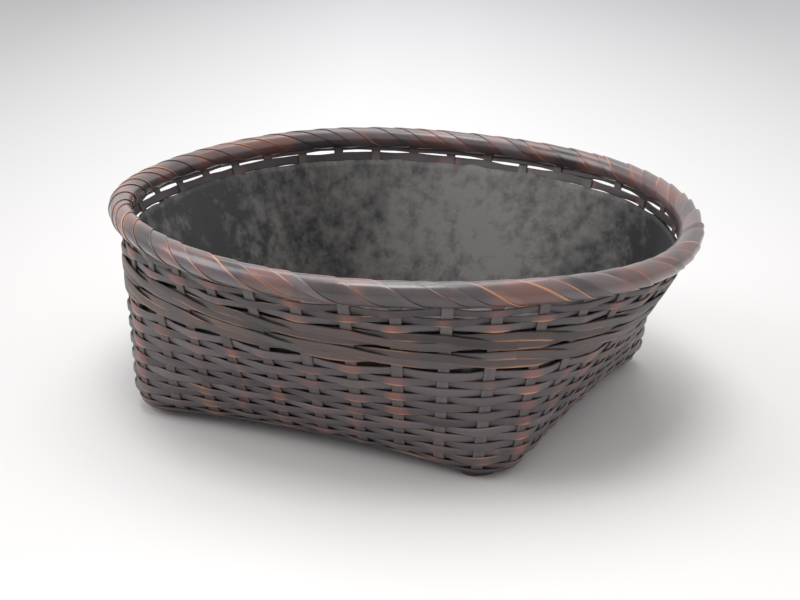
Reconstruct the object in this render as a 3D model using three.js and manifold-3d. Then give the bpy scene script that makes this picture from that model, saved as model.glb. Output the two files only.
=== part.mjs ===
// Charcoal basket: square woven base, round wrapped rim, black paper lining. Millimetres, +Z up.
// The origin is on the table, under the middle of the rim. One base corner points to +X -Y.
import * as THREE from 'three';
import Module from 'manifold-3d';

const wasm = await Module();
wasm.setup();

// Rim
const RIM_OUTER_RADIUS = 140;
const RIM_HEIGHT = 90.4;          // table to the middle of the roll
const RIM_CORNER_RISE = 0.9;      // the roll lies higher over the base corners
const RIM_SADDLE = 1.5;           // and lower over two opposite sides
const HOOP_THICKNESS = 2.4;
const HOOP_HEIGHT = 4.6;
const FILLER_HEIGHT = 3.0;
const WRAP_THICKNESS = 0.65;
const WRAP_ROOM = 0.77;           // between the hoops' edges and the wrapping
const WRAP_LOOPS = 24;
const WRAP_STEPS = 12;            // steps in one loop
const WRAP_SLIT = 1.1;            // open line between two turns, along the rim
const WRAP_END_GAP = 0.86;        // between the two ends, round the roll

// Base
const BASE_HALF = 94.2;           // middle to the wall's foot line at a side
const BASE_CORNER_RADIUS = 21.6;
const BASE_SAG = 2.9;             // sides drawn in at their middle
const BASE_ARCH = 3.3;            // sides raised at their middle
const BASE_SKEW = 0.044;          // the square is a little squashed along one diagonal
const FOLD_RADIUS = 8.4;          // floor strips turn up with this radius

// Foot, a smooth pad under each corner of the floor
const FOOT_LENGTH = 16;           // along the corner
const FOOT_WIDTH = 13;            // from the basket's middle outwards
const FOOT_HEIGHT = 2.4;
const FOOT_SETBACK = 21.219;      // the sharp corner of the base to the foot's middle
const FOOT_SHIFT = 2.8;           // the foot lies a little to one side of the corner
const FOOT_SIDES = 12;

// Strips
const STAKES_PER_SIDE = 10;       // one for each end of a floor strip, none at the corners
const STAKE_WIDTH = 5.0;
const STAKE_THICKNESS = 1.0;
const FLOOR_GAP = 0.9;            // between two floor strips at a crossing
const FLOOR_REACH = 78;           // the outermost floor strips lie no further out
const ROW_THICKNESS = 0.9;
const ROW_GAP = 0.612;            // between two rows
const ROW_DIP = 4.5;              // the rows hang lower between the corners
const WEAVE_GAP = 0.75;           // between a row and the stake that it passes
const CORNER_EASE = 1.6;          // more room where a row turns a corner
const THIN_ROW_WIDTH = 1.9;
const THIN_ROW_THICKNESS = 0.8;
const THIN_ROW_GAP = 1.6;

// Rows on the wall. The thin ones hang from the rim, and the plain ones fill what is left below.
const RIM_GAP = 2.0;              // open band between the roll and the top row
const THIN_ROWS = 3;
const WALE_COURSES = 2;
const WALE_STRANDS = 3;
const WALE_WIDTH = 3.6;
const WALE_BULGE = 0.7;           // a strand stands out where it changes lane
const LANE_GAP = 0.6;             // between the two strands of a course that lie in front
const WALE_FOOT_GAP = 2.4;        // open line under the waling
const WALE_HEAD_GAP = 1.2;        // and over it
const PLAIN_START = 3.8;          // woven floor to the middle of the lowest row
const PLAIN_ROWS = 13;

// Lining
const LINING_THICKNESS = 0.8;
const LINING_CLEARANCE = 0.7;     // to the strands that pass behind the stakes
const LINING_LIP = 1.7;           // stands up past the lowest thin row

const CLEARANCE = 0.35;
const FILLER_CLEARANCE = 0.3;
const SLOT_SIDE_CLEARANCE = 0.3;
const SLOT_FACE_CLEARANCE = 0.6;

// Where sections are taken, as shares of the fold, of the wall and of the floor
const STAKE_FOLD_STEPS = [0.07, 0.3, 0.65, 1];
const STAKE_WALL_STEPS = [0.4, 0.7, 1];
const LINING_FOLD_STEPS = [0.05, 0.3, 0.65, 1];
const LINING_WALL_STEPS = [0.45, 0.8, 1];
const LINING_FLOOR_STEPS = [0.4, 0.8];
const SLOPE_STEP = 0.004;         // share of the wall over which its slope is measured
const GAP_SAMPLES = 2;            // sections measured in one step of the wrapping
const HANG_SCALE = 27 / 4;        // brings the greatest value of v(1 - v)(1 - v) to one
const FOOT_RINGS = [[0, 0.88], [0.3, 1], [0.7, 0.93], [1, 0.72]];   // share of height, share of size

const SIDES = 4;
const STAKES = STAKES_PER_SIDE * SIDES;
const CORNER_SHARE = 0.16;        // of the corner radius, lost by the line of stakes at a corner
const STAKE_PITCH = (2 * (BASE_HALF - BASE_CORNER_RADIUS * CORNER_SHARE)) / STAKES_PER_SIDE;
const CORNER_ANGLE = -Math.PI / 4;
const FOOT_REACH = BASE_HALF * Math.SQRT2 - FOOT_SETBACK;

// The stakes stand in a channel between the hoops, and the wrapping goes round the hoops.
const CHANNEL = STAKE_THICKNESS / 2 + CLEARANCE;
const ROLL_INSIDE = Math.hypot(CHANNEL + HOOP_THICKNESS, HOOP_HEIGHT / 2) + WRAP_ROOM;
const ROLL_RADIUS = ROLL_INSIDE + WRAP_THICKNESS;
const RIM_RADIUS = RIM_OUTER_RADIUS - ROLL_RADIUS;
const FILLER_WIDTH = 2 * (CHANNEL - FILLER_CLEARANCE);

// The floor hangs over the feet, where the outermost strips cross.
const FLOOR_WAVE = (STAKE_THICKNESS + FLOOR_GAP) / 2;
const CROSSING_HEIGHT = FOOT_HEIGHT + CLEARANCE + STAKE_THICKNESS / 2 + FLOOR_WAVE;
const FLOOR_HEIGHT = CROSSING_HEIGHT - floorArch(FLOOR_REACH, FLOOR_REACH);
const WALL_HEIGHT = RIM_HEIGHT - ROLL_RADIUS - FLOOR_HEIGHT;
const ROW_WAVE = (STAKE_THICKNESS + ROW_THICKNESS) / 2 + WEAVE_GAP;

const THIN_PITCH = THIN_ROW_WIDTH + THIN_ROW_GAP;
const THIN_TOP = WALL_HEIGHT - RIM_GAP - THIN_ROW_WIDTH / 2;
const THIN_START = THIN_TOP - (THIN_ROWS - 1) * THIN_PITCH;
const WALE_LANE = WALE_WIDTH + LANE_GAP;
const WALE_PITCH = 2 * WALE_LANE;
const WALE_HALF = (WALE_WIDTH + WALE_LANE) / 2;
const WALE_TOP = THIN_START - THIN_ROW_WIDTH / 2 - WALE_HEAD_GAP - WALE_HALF;
const WALE_START = WALE_TOP - (WALE_COURSES - 1) * WALE_PITCH;
const PLAIN_SPACE = WALE_START - WALE_HALF - WALE_FOOT_GAP - PLAIN_START;
const PLAIN_PITCH = (PLAIN_SPACE + ROW_GAP / 2) / (PLAIN_ROWS - 0.5);
const ROW_WIDTH = PLAIN_PITCH - ROW_GAP;

const LINING_OFFSET = ROW_WAVE + ROW_THICKNESS / 2 + LINING_CLEARANCE;
const LINING_TOP = THIN_START + THIN_ROW_WIDTH / 2 + LINING_LIP;

// Squash the base along the diagonal that points to +X -Y, and stretch it along the other.
function skewed(x, y) {
  return [x + BASE_SKEW * y, y + BASE_SKEW * x];
}

// How far the woven floor stands above its corners.
function floorArch(x, y) {
  const reach = BASE_HALF - FOLD_RADIUS;
  const share = (v) => Math.min(1, (v / reach) ** 2);
  return BASE_ARCH * (1 - share(x) * share(y));
}

// Height of the woven floor's middle plane. The corners are lowest.
const floorHeight = (x, y) => FLOOR_HEIGHT + floorArch(x, y);

// Base outline at stake number s, drawn in by inset. Stake 0 is the corner at +X -Y.
function baseOutline(s, inset) {
  const side = Math.floor(s / STAKES_PER_SIDE);
  const along = (s - side * STAKES_PER_SIDE - STAKES_PER_SIDE / 2) * STAKE_PITCH;
  const straight = BASE_HALF - BASE_CORNER_RADIUS;
  const over = Math.abs(along) - straight;
  let out;
  let across;
  if (over <= 0) {
    out = BASE_HALF - BASE_SAG * (1 - (along / straight) ** 2) - inset;
    across = along;
  } else {
    const turn = (over / ((STAKES_PER_SIDE / 2) * STAKE_PITCH - straight)) * (Math.PI / 4);
    out = straight + (BASE_CORNER_RADIUS - inset) * Math.cos(turn);
    across = Math.sign(along) * (straight + (BASE_CORNER_RADIUS - inset) * Math.sin(turn));
  }
  const angle = (side * Math.PI) / 2;
  return [
    out * Math.cos(angle) - across * Math.sin(angle),
    out * Math.sin(angle) + across * Math.cos(angle),
  ];
}

// Middle of the rim roll at an angle counted from the +X -Y corner.
function rimCentre(turn) {
  const angle = CORNER_ANGLE + turn;
  const rise = RIM_CORNER_RISE * Math.cos(4 * turn) - RIM_SADDLE * Math.sin(2 * turn);
  return new THREE.Vector3(RIM_RADIUS * Math.cos(angle), RIM_RADIUS * Math.sin(angle), RIM_HEIGHT + rise);
}

const stakeTurn = (s) => (s / STAKES) * 2 * Math.PI;

// Middle surface of the wall at stake number s and share t of its height. It starts on the floor.
function wallPoint(s, t) {
  const around = ((s % STAKES) + STAKES) % STAKES;
  const [footX, footY] = baseOutline(around, FOLD_RADIUS);
  const low = floorHeight(footX, footY);
  const top = rimCentre(stakeTurn(around));
  const height = t * (top.z - ROLL_RADIUS - low);
  const left = Math.max(0, FOLD_RADIUS - height);
  const inset = FOLD_RADIUS - Math.sqrt(FOLD_RADIUS ** 2 - left ** 2);
  const [x, y] = skewed(...baseOutline(around, inset));
  return new THREE.Vector3(x + (top.x - x) * t, y + (top.y - y) * t, low + height);
}

// Directions on the wall: along the rows, up the stakes, and out.
function wallFrame(s, t) {
  const along = wallPoint(s + 1, t).sub(wallPoint(s - 1, t)).normalize();
  const above = wallPoint(s, Math.min(1, t + SLOPE_STEP));
  const up = above.sub(wallPoint(s, Math.max(0, t - SLOPE_STEP))).normalize();
  const out = new THREE.Vector3().crossVectors(along, up).normalize();
  return { along, up: new THREE.Vector3().crossVectors(out, along), out };
}

const shareOf = (height) => height / WALL_HEIGHT;

// Share of the wall's height at which a row runs, and how far apart the rows are there.
function hungRow(height, s) {
  const share = shareOf(height);
  const place = (s % STAKES_PER_SIDE) / STAKES_PER_SIDE;
  const depth = shareOf(ROW_DIP) * HANG_SCALE * 4 * place * (1 - place);
  return {
    share: share - depth * share * (1 - share) ** 2,
    spread: 1 - depth * (1 - share) * (1 - 3 * share),
  };
}

// A body through a list of sections with the same number of corners, closed into a ring or capped.
function loft(sections, ring) {
  const count = sections[0].length;
  const positions = sections.flat().flatMap((p) => [p.x, p.y, p.z]);
  const index = [];
  const steps = ring ? sections.length : sections.length - 1;
  for (let i = 0; i < steps; i += 1) {
    const j = (i + 1) % sections.length;
    for (let k = 0; k < count; k += 1) {
      const m = (k + 1) % count;
      const [a, b, c, d] = [i * count + k, i * count + m, j * count + m, j * count + k];
      index.push(a, b, c, a, c, d);
    }
  }
  if (!ring) {
    const last = (sections.length - 1) * count;
    for (let k = 1; k < count - 1; k += 1) {
      index.push(0, k + 1, k, last, last + k, last + k + 1);
    }
  }
  return outward(positions, index);
}

// A geometry whose faces point out.
function outward(positions, index) {
  let volume = 0;
  const at = (i) => new THREE.Vector3(positions[3 * i], positions[3 * i + 1], positions[3 * i + 2]);
  for (let i = 0; i < index.length; i += 3) {
    volume += at(index[i]).dot(at(index[i + 1]).cross(at(index[i + 2])));
  }
  if (volume < 0) {
    for (let i = 0; i < index.length; i += 3) {
      [index[i], index[i + 1]] = [index[i + 1], index[i]];
    }
  }
  const geometry = new THREE.BufferGeometry();
  geometry.setAttribute('position', new THREE.Float32BufferAttribute(positions, 3));
  geometry.setIndex(index);
  return geometry;
}

// Four corners of a strip's section.
function section(centre, width, across, thickness, out) {
  const w = across.clone().multiplyScalar(width / 2);
  const n = out.clone().multiplyScalar(thickness / 2);
  return [
    centre.clone().add(w).add(n),
    centre.clone().sub(w).add(n),
    centre.clone().sub(w).sub(n),
    centre.clone().add(w).sub(n),
  ];
}

// Sections of a strip along a path whose points carry a width direction.
function stripSections(path, width, thickness) {
  return path.map((node, i) => {
    const before = path[Math.max(0, i - 1)].point;
    const after = path[Math.min(path.length - 1, i + 1)].point;
    const run = after.clone().sub(before).normalize();
    const out = new THREE.Vector3().crossVectors(run, node.across).normalize();
    return section(node.point, width, node.across, thickness, out);
  });
}

// Stake path from the fold up into the rim roll, as points with their width direction.
function stakeRise(s) {
  const shares = [...STAKE_FOLD_STEPS.map((v) => shareOf(v * FOLD_RADIUS)), ...STAKE_WALL_STEPS];
  const rise = shares.map((t) => ({ point: wallPoint(s, t), across: wallFrame(s, t).along }));
  const top = rimCentre(stakeTurn(s));
  rise.push({ point: top, across: wallFrame(s, 1).along });
  return rise;
}

// One floor strip: up one wall, across the floor over and under the others, up the wall opposite.
function floorStrip(order, alongX) {
  const half = STAKES_PER_SIDE / 2;
  const place = order + 0.5 - half;
  const line = (v) => Math.max(-FLOOR_REACH, Math.min(FLOOR_REACH, v * STAKE_PITCH));
  const offset = line(place);
  const [startStake, endStake] = alongX
    ? [STAKES_PER_SIDE * 2 + half - place, half + place]
    : [STAKES_PER_SIDE * 3 + half + place, STAKES_PER_SIDE + half - place];
  const across = new THREE.Vector3(...(alongX ? skewed(0, 1) : skewed(-1, 0)), 0).normalize();
  const floor = [];
  for (let i = 0; i < STAKES_PER_SIDE; i += 1) {
    const run = line(i + 0.5 - half);
    const sign = (i + order) % 2 === (alongX ? 0 : 1) ? 1 : -1;
    const [x, y] = alongX ? [run, offset] : [offset, run];
    const [px, py] = skewed(x, y);
    floor.push({ point: new THREE.Vector3(px, py, floorHeight(x, y) + sign * FLOOR_WAVE), across });
  }
  const flip = (node) => ({ point: node.point, across: node.across.clone().negate() });
  const path = [...stakeRise(startStake).map(flip).reverse(), ...floor, ...stakeRise(endStake)];
  return loft(stripSections(path, STAKE_WIDTH, STAKE_THICKNESS), false);
}

// A foot under the corner with this number, flat below and rounded above.
function cornerFoot(corner) {
  const angle = CORNER_ANGLE + (corner * Math.PI) / 2;
  const [c, n] = [Math.cos(angle), Math.sin(angle)];
  const sections = FOOT_RINGS.map(([height, size]) => {
    const ring = [];
    for (let i = 0; i < FOOT_SIDES; i += 1) {
      const turn = (i / FOOT_SIDES) * 2 * Math.PI;
      const far = FOOT_REACH + (size * FOOT_WIDTH * Math.cos(turn)) / 2;
      const side = -FOOT_SHIFT + (size * FOOT_LENGTH * Math.sin(turn)) / 2;
      const [x, y] = skewed(far * c - side * n, far * n + side * c);
      ring.push(new THREE.Vector3(x, y, height * FOOT_HEIGHT));
    }
    return ring;
  });
  return loft(sections, false);
}

// A row that passes in front of a stake stands out further at a base corner and beside it.
function cornerEase(s) {
  const steps = Math.min(s % STAKES_PER_SIDE, STAKES_PER_SIDE - (s % STAKES_PER_SIDE));
  return Math.max(0, 1 - steps / 2) * CORNER_EASE;
}

// A closed row. step gives, at each stake, the way out from the wall and up it.
function row(height, width, thickness, step) {
  const sections = [];
  for (let stake = 0; stake < STAKES; stake += 1) {
    const [out, up] = step(stake);
    const s = stake + 0.5;
    const { share, spread } = hungRow(height + up, s);
    const frame = wallFrame(s, share);
    const eased = out > 0 ? out + cornerEase(s) : out;
    const centre = wallPoint(s, share).addScaledVector(frame.out, eased);
    sections.push(section(centre, width * spread, frame.up, thickness, frame.out));
  }
  return loft(sections, true);
}

// Over one stake and under the next. The next row starts the other way.
const plainStep = (order) => (stake) => [((stake + order) % 2 === 0 ? 1 : -1) * ROW_WAVE, 0];

// Waling: in front of two pairs of stakes, first in the upper and then in the lower lane, and behind
// the next pair, where the strand climbs back. A pair starts at an odd stake. The pairs that are left
// over lie at the far corner, where each strand runs on as it is.
function waleStep(strand) {
  const far = STAKES / 4;
  const spare = (STAKES / 2) % WALE_STRANDS;
  return (stake) => {
    const pair = Math.floor(((stake + 1) % STAKES) / 2);
    const passed = Math.min(Math.max(pair + 1 - far, 0), spare);
    const state = (pair - passed + strand) % WALE_STRANDS;
    const second = stake % 2 === 0;
    const climbed = second || (pair >= far && pair < far + spare);
    const lane = WALE_LANE / 2;
    if (state === 0) {
      return [ROW_WAVE + (second ? WALE_BULGE : 0), lane];
    }
    if (state === 1) {
      return [ROW_WAVE + (second ? 0 : WALE_BULGE), -lane];
    }
    return [-ROW_WAVE, climbed ? lane : -lane];
  };
}

// The paper lining: a thin bowl that follows floor and wall inside the weave, open at the top.
function lining() {
  const foldHeights = LINING_FOLD_STEPS.map((v) => v * FOLD_RADIUS);
  const wallHeights = LINING_WALL_STEPS.map((v) => v * LINING_TOP);
  const wallShares = [...foldHeights, ...wallHeights].map(shareOf);
  const skin = (offset) => {
    const rings = [];
    for (const share of LINING_FLOOR_STEPS) {
      const ring = [];
      for (let s = 0.5; s < STAKES; s += 1) {
        const [x, y] = baseOutline(s, FOLD_RADIUS).map((v) => v * share);
        const [px, py] = skewed(x, y);
        ring.push(new THREE.Vector3(px, py, floorHeight(x, y) + offset));
      }
      rings.push(ring);
    }
    for (const t of wallShares) {
      const ring = [];
      for (let s = 0.5; s < STAKES; s += 1) {
        ring.push(wallPoint(s, t).addScaledVector(wallFrame(s, t).out, -offset));
      }
      rings.push(ring);
    }
    return rings;
  };
  const outer = skin(LINING_OFFSET);
  const inner = skin(LINING_OFFSET + LINING_THICKNESS);
  const rings = [...outer, ...inner.reverse()];
  const positions = rings.flat().flatMap((p) => [p.x, p.y, p.z]);
  const index = [];
  for (let r = 0; r < rings.length - 1; r += 1) {
    for (let s = 0; s < STAKES; s += 1) {
      const n = (s + 1) % STAKES;
      const [a, b, c, d] = [r * STAKES + s, r * STAKES + n, (r + 1) * STAKES + n, (r + 1) * STAKES + s];
      // both skins are split along the same diagonal, so that the paper is as thick everywhere
      if (r < outer.length) {
        index.push(a, b, c, a, c, d);
      } else {
        index.push(a, b, d, b, c, d);
      }
    }
  }
  const middle = floorHeight(0, 0);
  const under = positions.length / 3;
  positions.push(0, 0, middle + LINING_OFFSET, 0, 0, middle + LINING_OFFSET + LINING_THICKNESS);
  const last = (rings.length - 1) * STAKES;
  for (let s = 0; s < STAKES; s += 1) {
    const n = (s + 1) % STAKES;
    index.push(under, n, s, under + 1, last + s, last + n);
  }
  return outward(positions, index);
}

// A point on or in the rim roll: turn along the rim, radial and upward offsets from its middle.
function rimPoint(turn, radial, up) {
  const centre = rimCentre(turn);
  const angle = CORNER_ANGLE + turn;
  centre.x += radial * Math.cos(angle);
  centre.y += radial * Math.sin(angle);
  centre.z += up;
  return centre;
}

// A ring inside the roll with a rectangular section.
function rimRing(radialLow, radialHigh, low, high) {
  const sections = [];
  const count = STAKES * 2;
  for (let i = 0; i < count; i += 1) {
    const turn = (i / count) * 2 * Math.PI;
    sections.push([
      rimPoint(turn, radialHigh, high),
      rimPoint(turn, radialLow, high),
      rimPoint(turn, radialLow, low),
      rimPoint(turn, radialHigh, low),
    ]);
  }
  return loft(sections, true);
}

// The rim wrapping: one flat strip wound round the roll, with a narrow open line between its turns.
function wrapSections() {
  const sections = [];
  const steps = WRAP_LOOPS * WRAP_STEPS;
  const endGap = WRAP_END_GAP / ROLL_RADIUS;
  const turns = WRAP_LOOPS * 2 * Math.PI - endGap;
  const along = (2 * Math.PI) / WRAP_LOOPS - WRAP_SLIT / RIM_RADIUS;
  for (let i = 0; i <= steps; i += 1) {
    const roll = endGap / 2 + (i / steps) * turns;
    const middle = roll / WRAP_LOOPS;
    const at = (share, radius) =>
      rimPoint(middle + share * along, -radius * Math.cos(roll), radius * Math.sin(roll));
    sections.push([
      at(-0.5, ROLL_INSIDE),
      at(0, ROLL_INSIDE),
      at(0.5, ROLL_INSIDE),
      at(0.5, ROLL_RADIUS),
      at(0, ROLL_RADIUS),
      at(-0.5, ROLL_RADIUS),
    ]);
  }
  return sections;
}

// Least distance between points of the strip that are half a loop or more apart.
function leastGap(sections) {
  let least = Infinity;
  const loop = WRAP_STEPS * GAP_SAMPLES;
  const refined = [];
  for (let i = 0; i < sections.length - 1; i += 1) {
    for (let k = 0; k < GAP_SAMPLES; k += 1) {
      refined.push(sections[i].map((p, n) => p.clone().lerp(sections[i + 1][n], k / GAP_SAMPLES)));
    }
  }
  for (let i = 0; i < refined.length; i += 1) {
    const reach = Math.min(refined.length, i + 2 * loop);
    for (let j = i + loop / 2; j < reach; j += 1) {
      for (const p of refined[i]) {
        for (const q of refined[j]) {
          least = Math.min(least, p.distanceTo(q));
        }
      }
    }
  }
  return least;
}

function toSolid(geometry) {
  return new wasm.Manifold(
    new wasm.Mesh({
      numProp: 3,
      vertProperties: Float32Array.from(geometry.attributes.position.array),
      triVerts: Uint32Array.from(geometry.index.array),
    }),
  );
}

function fromSolid(solid) {
  const mesh = solid.getMesh();
  const geometry = new THREE.BufferGeometry();
  geometry.setAttribute('position', new THREE.Float32BufferAttribute(mesh.vertProperties, 3));
  geometry.setIndex(Array.from(mesh.triVerts));
  return geometry;
}

// The wrapping with a slot for each stake end that passes up through it.
function rimWrap() {
  const sections = wrapSections();
  console.log(`rim wrapping, least gap to itself: ${leastGap(sections).toFixed(2)} mm`);
  const slotWidth = STAKE_WIDTH + 2 * SLOT_SIDE_CLEARANCE;
  const slotThickness = STAKE_THICKNESS + 2 * SLOT_FACE_CLEARANCE;
  let solid = toSolid(loft(sections, false));
  for (let s = 0.5; s < STAKES; s += 1) {
    const across = wallFrame(s, 1).along;
    const top = rimCentre(stakeTurn(s));
    const low = top.clone().setZ(top.z - ROLL_RADIUS * 2);
    const slot = stripSections([{ point: low, across }, { point: top, across }], slotWidth, slotThickness);
    solid = solid.subtract(toSolid(loft(slot, false)));
  }
  return fromSolid(solid);
}

const STAKE_FINISH = { color: 0x4a4643, roughness: 0.55, metalness: 0 };
const ROW_FINISH = { color: 0x3d3836, roughness: 0.5, metalness: 0 };
const WALE_FINISH = { color: 0x423c3a, roughness: 0.5, metalness: 0 };
const FOOT_FINISH = { color: 0x35292a, roughness: 0.45, metalness: 0 };
const HOOP_FINISH = { color: 0x3a2a24, roughness: 0.6, metalness: 0 };
const WRAP_FINISH = { color: 0x4a3531, roughness: 0.35, metalness: 0 };
const LINING_FINISH = { color: 0x1f1f1e, roughness: 0.7, metalness: 0 };

const basket = new THREE.Group();
basket.name = 'charcoal_basket';

function add(parent, name, geometry, finish) {
  const mesh = new THREE.Mesh(geometry, new THREE.MeshStandardMaterial(finish));
  mesh.name = name;
  parent.add(mesh);
}

// Floor and stakes
const floor = new THREE.Group();
basket.add(floor);
for (let i = 0; i < STAKES_PER_SIDE; i += 1) {
  add(floor, `floor_strip_x${i + 1}`, floorStrip(i, true), STAKE_FINISH);
  add(floor, `floor_strip_y${i + 1}`, floorStrip(i, false), STAKE_FINISH);
}
for (let i = 0; i < SIDES; i += 1) {
  add(floor, `corner_foot_${i + 1}`, cornerFoot(i), FOOT_FINISH);
}

// Wall rows
const wall = new THREE.Group();
basket.add(wall);
for (let i = 0; i < PLAIN_ROWS; i += 1) {
  const geometry = row(PLAIN_START + i * PLAIN_PITCH, ROW_WIDTH, ROW_THICKNESS, plainStep(i));
  add(wall, `plain_row_${i + 1}`, geometry, ROW_FINISH);
}
for (let i = 0; i < WALE_COURSES; i += 1) {
  for (let j = 0; j < WALE_STRANDS; j += 1) {
    const geometry = row(WALE_START + i * WALE_PITCH, WALE_WIDTH, ROW_THICKNESS, waleStep(j));
    add(wall, `waling_${i + 1}_strand_${j + 1}`, geometry, WALE_FINISH);
  }
}
for (let i = 0; i < THIN_ROWS; i += 1) {
  const height = THIN_START + i * THIN_PITCH;
  const geometry = row(height, THIN_ROW_WIDTH, THIN_ROW_THICKNESS, plainStep(i + 1));
  add(wall, `thin_row_${i + 1}`, geometry, ROW_FINISH);
}
add(wall, 'paper_lining', lining(), LINING_FINISH);

// Rim
const rim = new THREE.Group();
basket.add(rim);
const hoopEdge = HOOP_HEIGHT / 2;
const fillerEdge = FILLER_WIDTH / 2;
add(rim, 'inner_hoop', rimRing(-CHANNEL - HOOP_THICKNESS, -CHANNEL, -hoopEdge, hoopEdge), HOOP_FINISH);
add(rim, 'outer_hoop', rimRing(CHANNEL, CHANNEL + HOOP_THICKNESS, -hoopEdge, hoopEdge), HOOP_FINISH);
add(rim, 'rim_filler', rimRing(-fillerEdge, fillerEdge, CLEARANCE, CLEARANCE + FILLER_HEIGHT), HOOP_FINISH);
add(rim, 'rim_wrap', rimWrap(), WRAP_FINISH);

export default basket;
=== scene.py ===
"""Charcoal basket, dressed for its picture: woven bamboo wall, wrapped rim and lacquered paper lining.

The basket stands on a low pad under each corner, +Z up, with the origin on the table under the
middle of the rim. All lengths are in metres. Places on the wall are numbered from the corner at +X -Y,
anticlockwise seen from above: stake 0 stands at 0.5, and the corners lie at 0, 10, 20 and 30.
"""

import logging
import math
import random
from collections.abc import Callable
from dataclasses import dataclass, field
from enum import Enum

import bmesh
import bpy
from mathutils import Matrix, Vector

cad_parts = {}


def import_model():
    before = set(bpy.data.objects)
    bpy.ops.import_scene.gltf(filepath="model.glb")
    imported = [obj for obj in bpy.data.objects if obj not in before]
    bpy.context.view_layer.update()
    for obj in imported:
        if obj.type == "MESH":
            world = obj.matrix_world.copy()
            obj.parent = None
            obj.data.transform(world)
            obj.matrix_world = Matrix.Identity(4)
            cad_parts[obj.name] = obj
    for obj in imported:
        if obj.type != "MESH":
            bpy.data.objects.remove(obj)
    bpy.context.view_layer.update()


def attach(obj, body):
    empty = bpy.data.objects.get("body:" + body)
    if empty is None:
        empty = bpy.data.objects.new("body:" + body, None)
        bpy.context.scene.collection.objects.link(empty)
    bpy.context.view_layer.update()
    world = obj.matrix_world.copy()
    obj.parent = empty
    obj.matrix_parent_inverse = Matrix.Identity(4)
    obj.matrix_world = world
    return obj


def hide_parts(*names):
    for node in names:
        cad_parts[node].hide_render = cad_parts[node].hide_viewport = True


LOG = logging.getLogger("charcoal_basket")
MM = 0.001
WELD = 1e-7
UP = Vector((0, 0, 1))
STRIP_UV = "strip"
TONE = "tone"
WEAR = "wear"
EDGE = "edge"

Triple = tuple[float, float, float]
Colour = tuple[float, float, float, float]
Step = Callable[[float], tuple[float, float]]


class Course(Enum):
    """The kinds of woven row, from the bottom of the wall to the top."""

    PLAIN = "plain"
    WALING = "waling"
    THIN = "thin"


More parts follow.
